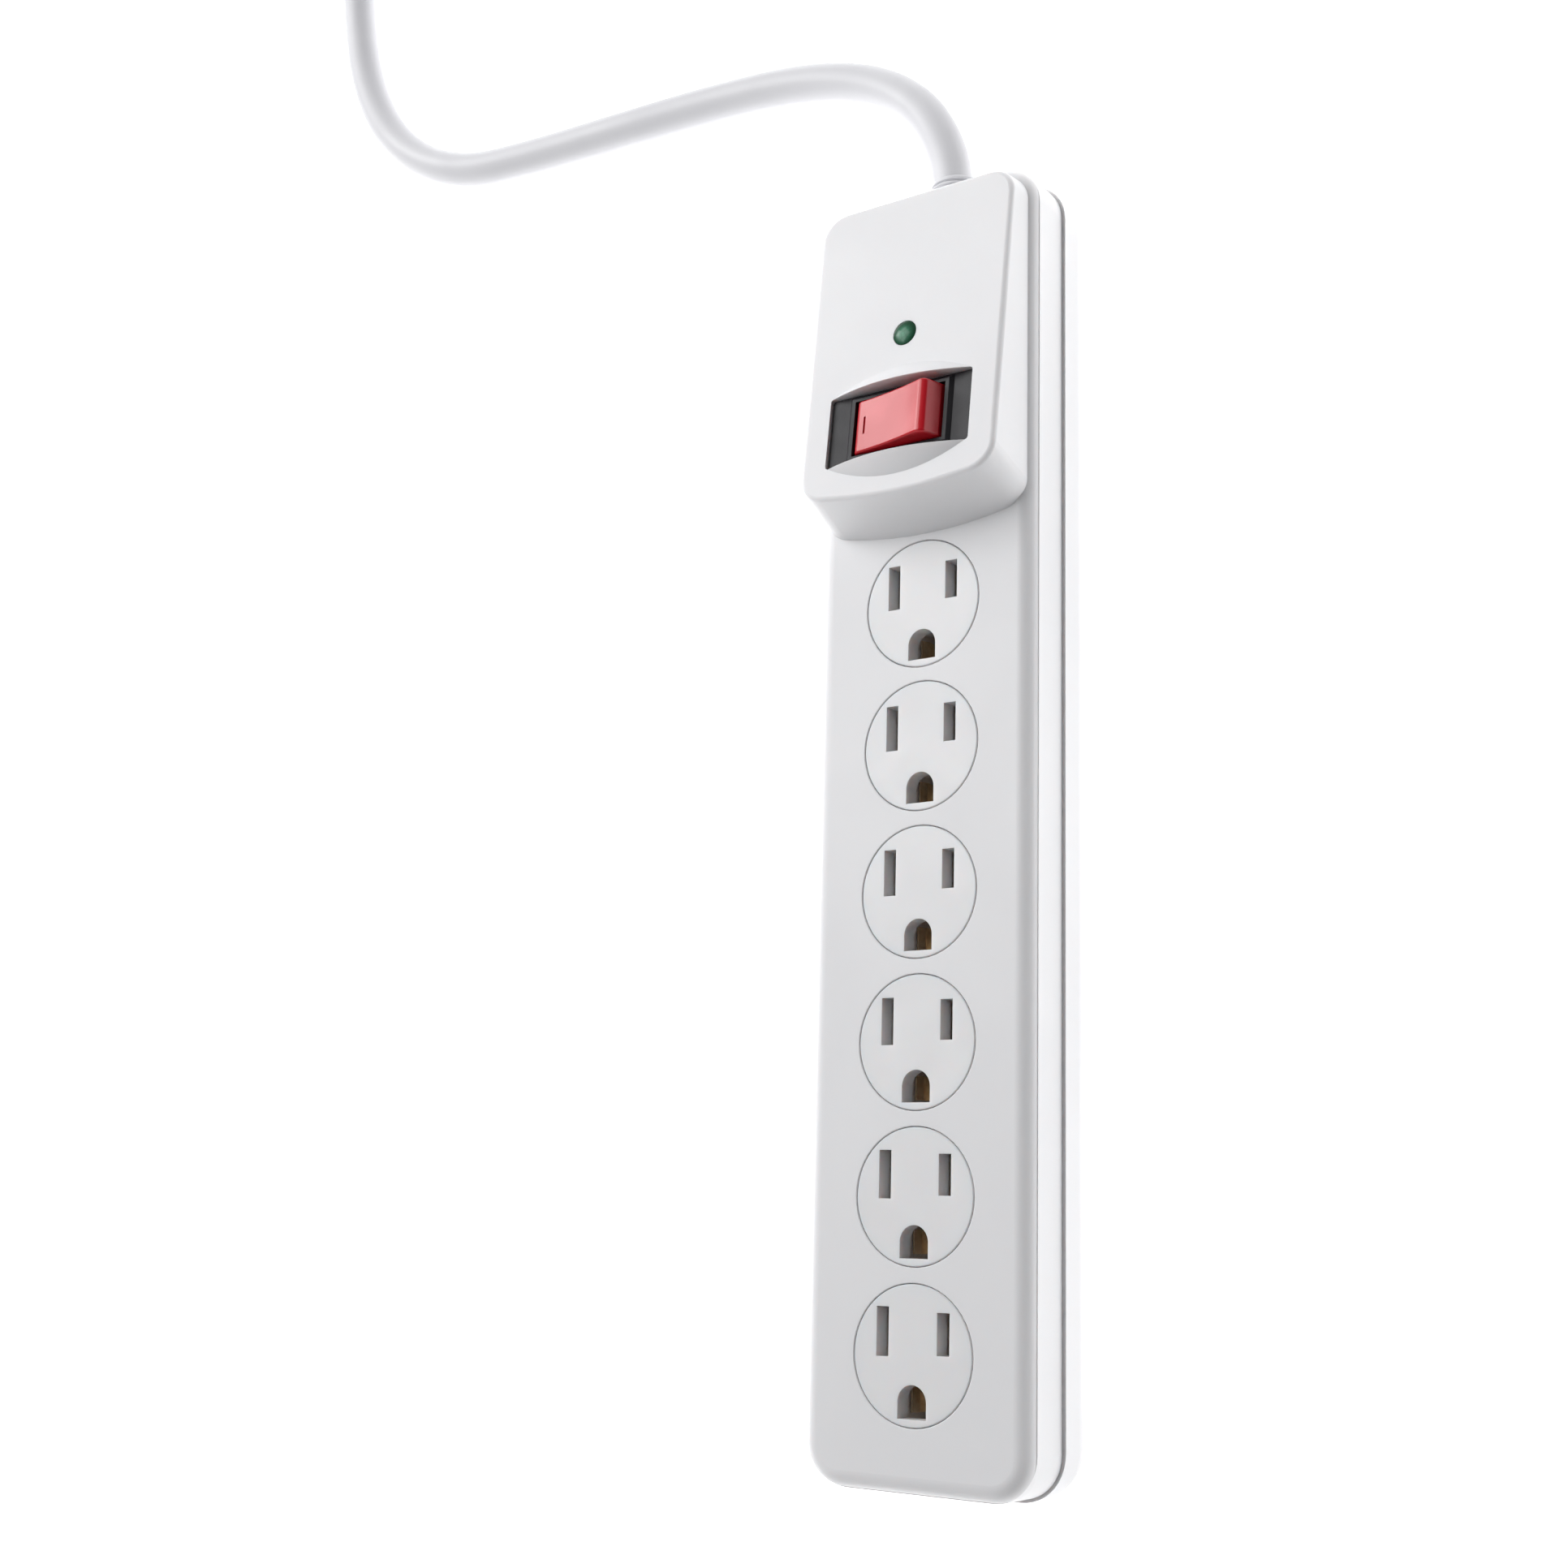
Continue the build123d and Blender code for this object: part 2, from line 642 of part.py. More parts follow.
lead_routes = {
    "neutral_lead": [
        (-2.2, 108.4, 11.4), (-5, 100, 8.5), (-15, 84, 6), (-15, 62, 6),
        (-slot_spacing / 2, 56, 9), (-slot_spacing / 2, *strip_end),
    ],
    "ground_lead": [
        (0, 108.4, 14.4), (-0.5, 101, 9.2), (-9.5, 84, 4.6), (-8.5, 64, 4.8),
        (0, 56.5, 9.2), (0, *strip_end),
    ],
    "line_lead": [
        (2.2, 108.4, 11.4), (4, 98, 7), (0.5, 82, 4.6), (0, spade_foot_y + 1, 4.4),
        (0, spade_foot_y, spade_foot_z),
    ],
    "load_lead": [
        (7.5, spade_foot_y, spade_foot_z), (7.5, spade_foot_y - 1.5, 4.8),
        (slot_spacing / 2, 57, 6.5), (slot_spacing / 2, *strip_end),
    ],
}

# ---- build ----
nodes["top_cover"] = top_cover()
nodes["bottom_cover"] = bottom_cover()
for number, line in enumerate(outlet_lines, 1):
    nodes[f"outlet_face_{number}"] = outlet_face(line)
nodes["contact_carrier"] = contact_carrier()
nodes["neutral_bus_bar"] = bus_bar(-slot_spacing / 2, 2.3, 0, 1.0, 3.4)
nodes["hot_bus_bar"] = bus_bar(slot_spacing / 2, 2.3, 0, 1.0, 3.0)
nodes["ground_bus_bar"] = bus_bar(0, 3.05, ground_drop, 2.45, 2.2)
nodes["switch_housing"] = switch_housing()
nodes["rocker"] = rocker()
nodes["rocker_plunger"] = plunger()
nodes["rocker_spring"] = rocker_spring()
nodes["contact_arm"] = contact_arm()
nodes["line_terminal"] = switch_terminal(0, arm_level - 0.15)
nodes["load_terminal"] = switch_terminal(1, arm_level - 1.85)
nodes["lamp_terminal"] = switch_terminal(-1, arm_level - 1.85)
nodes["lamp_lens"] = lamp_lens()
nodes["lamp_led"] = lamp_led()
nodes["surge_board"] = surge_board()
for number, place in enumerate(((-12, 88.5), (12, 88.5), (-13.5, 101)), 1):
    nodes[f"varistor_{number}"] = varistor(*place)
nodes["thermal_fuse"] = thermal_fuse()
nodes["filter_capacitor"] = filter_capacitor()
cord, cord_path = tube(cord_route, cord_radius)
nodes["cord"] = cord
nodes["strain_relief"] = relief()
for name, route in lead_routes.items():
    nodes[name] = tube(route, lead_radius)[0]
nodes["cover_screws"] = cover_screws()
nodes["cord_tail"] = tube(tail_route, cord_radius)[0]
nodes["cord_coil"] = cord_coil()
nodes["cord_tie"] = cord_tie()
nodes["plug_body"] = plug_body()
nodes["plug_hot_blade"] = plug_blade(1)
nodes["plug_neutral_blade"] = plug_blade(-1)
nodes["plug_ground_pin"] = plug_ground_pin()

os.makedirs("parts", exist_ok=True)
for name, shape in nodes.items():
    export_step(shape, f"parts/{name}.step")
print("cord radii", [round(r, 1) for r in corner_radii(cord_route)])
print("cord volume", round(cord.volume), "section x length",
      round(math.pi * cord_radius**2 * cord_path.length))
wound = coil_turns * 2 * math.pi * coil_radius
print("cord length", round(cord_path.length + 13 + wound + plug_distance))
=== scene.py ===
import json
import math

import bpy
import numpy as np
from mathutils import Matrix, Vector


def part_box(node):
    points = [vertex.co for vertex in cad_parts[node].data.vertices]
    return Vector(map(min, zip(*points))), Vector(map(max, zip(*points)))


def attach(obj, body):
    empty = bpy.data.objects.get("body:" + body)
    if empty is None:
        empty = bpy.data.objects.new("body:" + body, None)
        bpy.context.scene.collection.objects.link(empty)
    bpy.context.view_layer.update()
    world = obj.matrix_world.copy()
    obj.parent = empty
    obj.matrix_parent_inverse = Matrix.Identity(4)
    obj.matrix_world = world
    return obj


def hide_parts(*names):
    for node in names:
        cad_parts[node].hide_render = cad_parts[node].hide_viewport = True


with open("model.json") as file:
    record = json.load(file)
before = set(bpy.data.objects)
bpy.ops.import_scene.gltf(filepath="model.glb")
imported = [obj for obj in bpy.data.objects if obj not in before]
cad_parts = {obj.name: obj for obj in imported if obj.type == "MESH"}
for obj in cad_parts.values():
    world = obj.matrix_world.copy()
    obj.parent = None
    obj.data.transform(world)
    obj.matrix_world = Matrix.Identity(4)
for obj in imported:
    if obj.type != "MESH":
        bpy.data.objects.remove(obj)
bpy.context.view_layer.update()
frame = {"nodes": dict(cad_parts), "record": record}

# %% [markdown]
# # A power strip
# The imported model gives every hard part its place: a white case in two shells, six outlet
# fronts, a switch, a lamp and a cord. This lesson gives those parts their finish, and makes
# the pieces that a CAD solid can't show well: the soft cord, the ribbed plug, the sleeve in
# the end wall and the tie round the coil. Everything is in metres, in the same frame as the
# model, with +Y towards the cord and +Z out of the outlets.

MM = 0.001
nodes = frame["nodes"]
print("nodes in the frame:", len(nodes))

# %% [markdown]
# ## The camera
# The strip is seen from its right, a little from the foot, with the cord end away from the
# eye. A camera looks along its own -Z, so three vectors say how it stands: right, up and
# back. They are the columns of its matrix, which is why no aim point is needed.

# %% Camera
camera_place = Vector((208.0, -76.6, 352.1)) * MM
camera_right = Vector((0.811, 0.026, -0.585))
camera_back = Vector((0.577, -0.200, 0.792))


def stand(place, right, back):
    """The matrix of an object at a place: its Z is back, and its X is right, squared to Z."""
    z = back.normalized()
    x = (right - z * right.dot(z)).normalized()
    y = z.cross(x)
    rows = [(x[i], y[i], z[i], place[i]) for i in range(3)] + [(0, 0, 0, 1)]
    return Matrix(rows)


lens = bpy.data.cameras.new("camera")
lens.sensor_width = 36.0
lens.lens = 48.67
lens.clip_start = 0.01
camera = bpy.data.objects.new("camera", lens)
camera.matrix_world = stand(camera_place, camera_right, camera_back)
bpy.context.scene.collection.objects.link(camera)
bpy.context.scene.camera = camera
print("camera at", [round(v, 3) for v in camera_place])

# %% [markdown]
# ## The cord's line
# The cord is a round three-core vinyl lead, 8.4 mm thick. It leaves the end wall level, comes
# down to the table in one bend, runs off to the left and curls away from the case. What is
# left of its length is wound in a neat coil with the plug beside it. A quadratic NURBS
# spline through control points gives one smooth line: it touches the middle of each leg
# between two points, so a coil's points lie a little outside the coil.

# %% Cord route
cord_radius = 4.2 * MM
coil_middle = Vector((-148.0, 294.0, 0.0)) * MM
coil_radius = 42.0 * MM
strand_offset = 4.3 * MM
coil_level = 5.2 * MM
top_level = 13.8 * MM
tail_level = 13.7 * MM
plug_start = -82.0 * MM
route = [
    (0.0, 0.109, 0.0125), (0.0, 0.1285, 0.0125), (-0.0044, 0.142, 0.0112),
    (-0.0126, 0.1534, 0.0092), (-0.026, 0.163, 0.0068), (-0.0435, 0.1694, 0.005),
    (-0.066, 0.1726, 0.0042), (-0.0955, 0.1743, 0.0042), (-0.1255, 0.1756, 0.0042),
    (-0.151, 0.1782, 0.0042), (-0.1728, 0.1906, 0.0042), (-0.187, 0.211, 0.0042),
    (-0.1932, 0.236, 0.0042), (-0.1943, 0.262, 0.0052), (-0.1943, 0.281, 0.0052),
]


def ease(value, start, end):
    """0 before start, 1 after end, and a smooth step between them."""
    t = np.clip((value - start) / (end - start), 0.0, 1.0)
    return t * t * (3.0 - 2.0 * t)


def coil_points(turns=2.25, per_turn=14):
    """Clockwise turns from the left: the first lies outside, then inside, then on top.

    Each point is at the middle plus radius times (-cos, sin) of the angle gone, and the
    radius is divided by the cosine of half a step, so that the spline has the true radius.
    """
    steps = int(turns * per_turn)
    turn = (np.arange(steps) + 1.0) / per_turn
    inward = ease(turn, 0.70, 0.97)
    back = ease(turn, 1.50, 1.68)
    radius = coil_radius + strand_offset * (1.0 - 2.0 * inward + back)
    radius = radius / math.cos(math.pi / per_turn)
    level = coil_level + (top_level - coil_level) * ease(turn, 1.34, 1.60)
    angle = 2.0 * math.pi * turn
    x = coil_middle.x - radius * np.cos(angle)
    y = coil_middle.y + radius * np.sin(angle)
    return [tuple(p) for p in np.column_stack([x, y, level])]


tail_y = coil_middle.y + coil_radius
tail = [
    (coil_middle.x + 0.022, tail_y, top_level),
    (coil_middle.x + 0.044, tail_y, 0.5 * (top_level + tail_level)),
    (plug_start + 0.004, tail_y, tail_level),
]
line_points = route + coil_points() + tail
print("cord control points:", len(line_points))


# %% Cord curve
def spline_object(name, points, radius, cyclic=False):
    """A curve object with one quadratic NURBS spline and a round section.

    The thickness is on the points, with a bevel of 1, because the box that Blender gives a
    curve reaches each point's own radius past it.
    """
    data = bpy.data.curves.new(name, "CURVE")
    data.dimensions = "3D"
    data.bevel_depth = 1.0
    data.bevel_resolution = 7
    data.use_fill_caps = True
    data.resolution_u = 8
    spline = data.splines.new("NURBS")
    spline.points.add(len(points) - 1)
    for point, place in zip(spline.points, points):
        point.co = (*place, 1.0)
        point.radius = radius
    spline.order_u = 3
    spline.use_endpoint_u = not cyclic
    thing = bpy.data.objects.new(name, data)
    bpy.context.scene.collection.objects.link(thing)
    return thing


# %% [markdown]
# ## Surfaces from rings of points
# The plug, the sleeve and the tie are all soft-cornered bars whose section changes along
# their length. Each is worked out as a grid: one row of points for every station along the
# piece, one column for every direction round it. A superellipse gives the section, because
# one number takes it from a circle (2) to a rounded box (5 or more).

# %% Ring surface
def ring_surface(name, grid, loop=False):
    """A mesh from rings of points: quads join ring to ring, and the end rings are filled.

    A loop joins its last ring to its first instead. Rings run counter-clockwise round the
    direction of travel, so that the faces look outwards.
    """
    rows, columns = grid.shape[:2]
    index = np.arange(rows * columns).reshape(rows, columns)
    if loop:
        index = np.vstack([index, index[:1]])
    aside = np.roll(index, -1, axis=1)
    quads = np.stack([index[:-1], aside[:-1], aside[1:], index[1:]], axis=-1).reshape(-1, 4)
    faces = quads.tolist()
    if not loop:
        faces += [index[0][::-1].tolist(), index[-1].tolist()]
    mesh = bpy.data.meshes.new(name)
    mesh.from_pydata(grid.reshape(-1, 3), [], faces)
    mesh.polygons.foreach_set("use_smooth", np.ones(len(faces), dtype=bool))
    mesh.set_sharp_from_angle(angle=math.radians(50))
    mesh.update()
    thing = bpy.data.objects.new(name, mesh)
    bpy.context.scene.collection.objects.link(thing)
    print(name, "has", len(faces), "faces")
    return thing


def section(half_wide, half_high, power, around):
    """Superellipse points: |y/a| to the power n plus |z/b| to the power n is one."""
    angle = 2.0 * np.pi * np.arange(around) / around
    c = np.cos(angle)
    s = np.sin(angle)
    a = np.asarray(half_wide)[:, None]
    b = np.asarray(half_high)[:, None]
    n = np.asarray(power)[:, None]
    reach = (np.abs(c / a) ** n + np.abs(s / b) ** n) ** (-1.0 / n)
    return reach * c, reach * s


def blend_stations(x, stations, values):
    """A value carried along x through the given stations, with a smooth step in each gap."""
    x = np.asarray(x)
    result = np.full(x.shape, values[0], dtype=float)
    for start, end, low, high in zip(stations, stations[1:], values, values[1:]):
        result = result + (high - low) * ease(x, start, end)
    return result


# %% [markdown]
# ## The plug
# A grounded plug is moulded straight onto its cord in one shot of vinyl. Its sleeve is cut
# by short ribs, so that it bends evenly, then it swells into a head that fingers can pull.
# The head is a rounded box with a dished grip on each side and a flat front for the blades.

# %% Plug moulding
plug_low, plug_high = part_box("plug_body")
plug_x = plug_low[0]
plug_length = plug_high[0] - plug_low[0]
plug_y = 0.5 * (plug_low[1] + plug_high[1])
cord_z = top_level - 0.0001


def ribs(x, start, pitch, count, width):
    """One inside each groove and nothing between them, with soft walls."""
    groove = np.zeros_like(x)
    for i in range(count):
        middle = start + pitch * i
        groove = np.maximum(groove, 1.0 - ease(np.abs(x - middle), 0.25 * width, 0.6 * width))
    return groove


def plug_grid(around=96):
    """Rings along the plug: sleeve, throat, head with grips, and a front with a soft edge."""
    x = np.concatenate([
        np.linspace(0.0, 0.0252, 84), np.linspace(0.0257, 0.0520, 60),
    ])
    wide = blend_stations(x, (0.0, 0.024, 0.041), (0.0054, 0.0072, 0.0128))
    high = blend_stations(x, (0.0, 0.024, 0.040), (0.0054, 0.0070, 0.0112))
    power = blend_stations(x, (0.018, 0.036), (2.0, 4.6))
    sink = blend_stations(x, (0.020, 0.040), (0.0, -0.0022))
    wide = wide - 0.0011 * (ease(x, 0.038, 0.043) - ease(x, 0.047, 0.051))
    y, z = section(wide, high, power, around)
    angle = 2.0 * np.pi * np.arange(around) / around
    web = ease(np.abs(np.cos(angle)), 0.93, 0.99)[None, :]
    cut = 1.0 - 0.17 * ribs(x, 0.0032, 0.0031, 7, 0.0017)[:, None] * (1.0 - web)
    body = np.stack([np.broadcast_to(x[:, None], y.shape), y * cut, z * cut], axis=-1)
    body[:, :, 2] += sink[:, None]
    turn = np.linspace(0.0, 0.5 * np.pi, 8)[1:]
    edge = 0.0016
    last = body[-1] - np.array([0.0, 0.0, sink[-1]])
    shrink = 1.0 - edge * (1.0 - np.cos(turn)) / 0.012
    front = last[None] * np.stack([np.ones(7), shrink, shrink], axis=-1)[:, None, :]
    front[:, :, 0] += (edge * np.sin(turn))[:, None]
    front[:, :, 2] += sink[-1]
    tuck = body[:1] * np.array([1.0, 0.86, 0.86])
    grid = np.concatenate([tuck, body, front])
    stretch = plug_length / grid[:, :, 0].max()
    grid[:, :, 0] = grid[:, :, 0] * stretch
    return grid + np.array([plug_x, plug_y, cord_z])


plug_moulding = ring_surface("plug_moulding", plug_grid())
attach(plug_moulding, "case")
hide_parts("plug_body")

# %% [markdown]
# ## The sleeve in the end wall
# The cord passes through a soft sleeve that is clamped between the two shells. It tapers away
# from the wall and has two ribs, and it hides most of its length inside the case.

# %% Relief sleeve
relief_low, relief_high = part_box("strain_relief")
exit_height = 0.0125


def relief_grid(around=72):
    """Rings along Y: an inner collar, a waist in the wall, a flange and a tapered nose."""
    start = relief_low[1]
    reach = relief_high[1] - start
    t = np.linspace(0.0, 1.0, 90)
    radius = blend_stations(
        t, (0.0, 0.02, 0.52, 0.56, 0.72, 0.75, 0.80, 0.84, 0.985, 1.0),
        (0.0062, 0.0068, 0.0068, 0.0058, 0.0058, 0.0064, 0.0064, 0.0057, 0.0050, 0.0046),
    )
    radius = radius - 0.0005 * ribs(t, 0.885, 0.05, 2, 0.028)
    angle = -2.0 * np.pi * np.arange(around) / around
    x = radius[:, None] * np.cos(angle)
    z = exit_height + radius[:, None] * np.sin(angle)
    y = np.broadcast_to((start + reach * t)[:, None], x.shape)
    return np.stack([x, y, z], axis=-1)


relief_sleeve = ring_surface("relief_sleeve", relief_grid())
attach(relief_sleeve, "case")
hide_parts("strain_relief")

# %% [markdown]
# ## The tie round the coil
# A new cord comes wound and held by a flat nylon tie. The strap is a band with fine teeth
# that goes once round the strands and through a small head.

# %% Coil tie
tie_low, tie_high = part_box("cord_tie")
tie_x = 0.5 * (tie_low[0] + tie_high[0])
tie_y = 0.5 * (tie_low[1] + tie_high[1])
strap_half = 0.0024
strap_thick = 0.0009


def strap_grid(steps=260):
    """A band round the strands: its path is a rounded box in the plane across the coil.

    The outer face carries teeth, a fine wave along the path on the middle of the band.
    """
    angle = 2.0 * np.pi * np.arange(steps) / steps
    half_wide = 0.0089
    half_high = 0.0085
    n = 4.2
    reach = (np.abs(np.cos(angle) / half_wide) ** n + np.abs(np.sin(angle) / half_high) ** n)
    reach = reach ** (-1.0 / n)
    across = np.array([-1.0, -0.8, 0.8, 1.0, 0.8, -0.8]) * strap_half
    out = np.array([0.5, 1.0, 1.0, 0.5, 0.0, 0.0]) * strap_thick
    tooth = np.array([0.0, 1.0, 1.0, 0.0, 0.0, 0.0])
    wave = 0.00012 * np.sin(angle * 80.0)
    far = reach[:, None] + out[None] + wave[:, None] * tooth[None]
    x = np.broadcast_to(tie_x + across[None], far.shape)
    y = tie_y + far * np.cos(angle)[:, None]
    z = 0.0096 + far * np.sin(angle)[:, None]
    return np.stack([x, y, z], axis=-1)


def head_grid(around=48):
    """The tie's head: a superellipse bar along X with soft ends and a recess on its top."""
    t = np.linspace(-1.0, 1.0, 40)
    swell = (1.0 - np.abs(t) ** 7) ** (1.0 / 7.0)
    y, z = section(0.0036 * swell + 2e-4, 0.0013 * swell + 1e-4, np.full(40, 4.5), around)
    dip = 0.0004 * (1.0 - ease(np.abs(t), 0.35, 0.5))[:, None] * (np.abs(y) < 0.0018) * (z > 0)
    x = np.broadcast_to((tie_x + 0.0032 * t)[:, None], y.shape)
    return np.stack([x, tie_y + y, 0.0199 + z - dip], axis=-1)


coil_tie = ring_surface("coil_tie", strap_grid(), loop=True)
tie_head = ring_surface("tie_head", head_grid())
for piece in (coil_tie, tie_head):
    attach(piece, "case")
    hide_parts("cord_tie")

# %% [markdown]
# ## The cord
# With its fittings made, the cord itself is drawn on its line, with its thickness.

# %% Cord
supply_cord = spline_object("supply_cord", line_points, cord_radius)
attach(supply_cord, "case")
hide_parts("cord", "cord_coil", "cord_tail")

# %% [markdown]
# ## Small helpers for node trees
# A finish is a tree of nodes. Three helpers keep the trees readable: one fills a socket with
# a link or a value, one adds a node with its settings, and one does a sum.

# %% Node helpers
def fill(tree, socket, value):
    """Links a socket to another, or sets its own value."""
    if isinstance(value, bpy.types.NodeSocket):
        tree.links.new(value, socket)
    else:
        socket.default_value = value


def add(tree, kind, inputs=None, **settings):
    """A new node with its settings, and its named inputs filled."""
    node = tree.nodes.new(kind)
    for key, value in settings.items():
        setattr(node, key, value)
    for key, value in (inputs or {}).items():
        fill(tree, node.inputs[key], value)
    return node


def calc(tree, operation, *values, clamp=False):
    """The result of one sum."""
    node = add(tree, "ShaderNodeMath", operation=operation, use_clamp=clamp)
    for socket, value in zip(node.inputs, values):
        fill(tree, socket, value)
    return node.outputs[0]


def blend_colour(tree, factor, first, second):
    """Two colours mixed by a factor."""
    node = add(tree, "ShaderNodeMix", data_type="RGBA", clamp_factor=True)
    for place, value in ((0, factor), (6, first), (7, second)):
        fill(tree, node.inputs[place], value)
    return node.outputs[2]


def noise(tree, place, scale, detail=2.0, roughness=0.5, distortion=0.0):
    """Soft noise from 0 to 1."""
    return add(tree, "ShaderNodeTexNoise", {
        "Vector": place, "Scale": scale, "Detail": detail, "Roughness": roughness,
        "Distortion": distortion,
    }).outputs[0]


def steps(tree, value, low, high, to_low=0.0, to_high=1.0):
    """A value spread smoothly from one range to another."""
    return add(tree, "ShaderNodeMapRange", {
        "Value": value, "From Min": low, "From Max": high, "To Min": to_low, "To Max": to_high,
    }, interpolation_type="SMOOTHSTEP").outputs[0]


def rgba(colour):
    return (*colour, 1.0)


# %% [markdown]
# ## Effects that several finishes share
# Every moulded part has the same three things: the fine grain that the tool's spark-eroded
# steel leaves, slow clouds where the melt flowed and cooled, and patches that hands have
# polished. Drawn metal has streaks along its rolling direction. Each effect is a node group
# with sockets of its own, so one idea serves all the parts at different strengths.

# %% Group maker
KINDS = {"v": "NodeSocketVector", "c": "NodeSocketColor", "f": "NodeSocketFloat"}


def new_group(name, takes, gives):
    """An empty shader group with its sockets: a letter before each name gives its kind."""
    tree = bpy.data.node_groups.new(name, "ShaderNodeTree")
    for words, way in ((takes, "INPUT"), (gives, "OUTPUT")):
        for word in words:
            kind, label = word.split(" ", 1)
            tree.interface.new_socket(label, in_out=way, socket_type=KINDS[kind])
    return tree, tree.nodes.new("NodeGroupInput").outputs, tree.nodes.new("NodeGroupOutput").inputs


# %% Moulded skin
skin_group, take, give = new_group(
    "moulded_skin",
    ["v Place", "c Colour", "c Shade", "f Grain", "f Flow", "f Roughness", "f Spread"],
    ["c Colour", "f Roughness", "f Height"],
)
grain = noise(skin_group, take["Place"], take["Grain"], 3.0, 0.62)
flow = noise(skin_group, take["Place"], take["Flow"], 2.0, 0.5, 0.8)
cloud = steps(skin_group, flow, 0.3, 0.7)
specks = calc(skin_group, "MULTIPLY_ADD", grain, 0.35, calc(skin_group, "MULTIPLY", cloud, 0.65))
fill(skin_group, give["Colour"], blend_colour(skin_group, specks, take["Colour"], take["Shade"]))
lean = calc(skin_group, "SUBTRACT", specks, 0.5)
fill(skin_group, give["Roughness"], calc(
    skin_group, "MULTIPLY_ADD", lean, take["Spread"], take["Roughness"], clamp=True))
fill(skin_group, give["Height"], calc(skin_group, "MULTIPLY_ADD", flow, 0.3, grain))
print("group", skin_group.name)

# %% Touch marks
touch_group, take, give = new_group(
    "touch_marks", ["v Place", "f Scale", "f Cover"], ["f Mask"])
patch = noise(touch_group, take["Place"], take["Scale"], 4.0, 0.55, 0.4)
smear = noise(touch_group, take["Place"], calc(touch_group, "MULTIPLY", take["Scale"], 5.0), 3.0)
edge = calc(touch_group, "SUBTRACT", 0.78, calc(touch_group, "MULTIPLY", take["Cover"], 0.4))
worn = steps(touch_group, patch, edge, calc(touch_group, "ADD", edge, 0.16))
fill(touch_group, give["Mask"], calc(touch_group, "MULTIPLY", worn, smear))
print("group", touch_group.name)

# %% Drawn metal
metal_group, take, give = new_group(
    "drawn_metal",
    ["v Place", "v Stretch", "c Colour", "c Tarnish", "f Roughness", "f Spread"],
    ["c Colour", "f Roughness", "f Height"],
)
drawn = add(metal_group, "ShaderNodeVectorMath", operation="MULTIPLY")
fill(metal_group, drawn.inputs[0], take["Place"])
fill(metal_group, drawn.inputs[1], take["Stretch"])
streak = noise(metal_group, drawn.outputs[0], 1.0, 4.0, 0.7)
stain = noise(metal_group, take["Place"], 260.0, 3.0, 0.6, 0.5)
dull = calc(metal_group, "MULTIPLY_ADD", streak, 0.35,
            calc(metal_group, "MULTIPLY", steps(metal_group, stain, 0.4, 0.7), 0.65))
fill(metal_group, give["Colour"], blend_colour(metal_group, dull, take["Colour"], take["Tarnish"]))
fill(metal_group, give["Roughness"], calc(
    metal_group, "MULTIPLY_ADD", dull, take["Spread"], take["Roughness"], clamp=True))
fill(metal_group, give["Height"], streak)
print("group", metal_group.name)


# %% [markdown]
# ## Finishes
# The white shells are a styrene plastic with a satin face: the light on them is broad, with no
# sharp reflection. A little warm grey is laid in the joints, which an ambient occlusion node finds
# from the shape alone. It is painted shade in the joints, made uneven by a fine noise, and a
# choice: a new strip is clean.
# Broad shade is left to the lights. Painted into the colour, it would be wrong in any other
# light and from any other side.

# %% Moulded finish
def use_group(tree, group, inputs):
    """A group placed in a material, with its inputs filled."""
    return add(tree, "ShaderNodeGroup", inputs, node_tree=group).outputs


def new_finish(name):
    """A material with its tree, its Principled shader and the object's own coordinates."""
    material = bpy.data.materials.new(name)
    material.use_nodes = True
    tree = material.node_tree
    place = add(tree, "ShaderNodeTexCoord").outputs["Object"]
    return material, tree, tree.nodes["Principled BSDF"], place


def relief_normal(tree, height, strength, depth):
    """A bump from a height, with its depth in metres."""
    bump = add(tree, "ShaderNodeBump", {"Height": height, "Strength": strength, "Distance": depth})
    return bump.outputs[0]


def moulded(name, colour, shade, roughness=0.4, spread=0.12, grain=2600.0, flow=22.0,
            bump=0.35, depth=2e-5, touch=(18.0, 0.4), polish=-0.1, painted_joint_shade=None, ior=1.5,
            settings=None):
    """A moulded plastic: skin, hand-polished patches, and painted shade in its joints if asked."""
    material, tree, shader, place = new_finish(name)
    skin = use_group(tree, skin_group, {
        "Place": place, "Colour": rgba(colour), "Shade": rgba(shade), "Grain": grain,
        "Flow": flow, "Roughness": roughness, "Spread": spread,
    })
    marks = use_group(tree, touch_group, {"Place": place, "Scale": touch[0], "Cover": touch[1]})
    result = skin["Colour"]
    # Painted shade: where the ambient occlusion node finds a joint, the base colour is darkened
    # unevenly towards a warm grey.
    if painted_joint_shade is not None:
        tint, reach, amount = painted_joint_shade
        open_sky = add(tree, "ShaderNodeAmbientOcclusion", {"Distance": reach}, samples=6)
        shut = steps(tree, calc(tree, "SUBTRACT", 1.0, open_sky.outputs["AO"]), 0.12, 0.75)
        uneven = steps(tree, noise(tree, place, 420.0, 3.0, 0.6), 0.15, 0.75, 0.55, 1.0)
        painted_shade_mix = calc(tree, "MULTIPLY", calc(tree, "MULTIPLY", shut, uneven), amount)
        result = blend_colour(tree, painted_shade_mix, result, rgba(tint))
    fill(tree, shader.inputs["Base Color"], result)
    fill(tree, shader.inputs["Roughness"], calc(
        tree, "MULTIPLY_ADD", marks["Mask"], polish, skin["Roughness"], clamp=True))
    fill(tree, shader.inputs["Normal"], relief_normal(tree, skin["Height"], bump, depth))
    shader.inputs["IOR"].default_value = ior
    for key, value in (settings or {}).items():
        shader.inputs[key].default_value = value
    return material
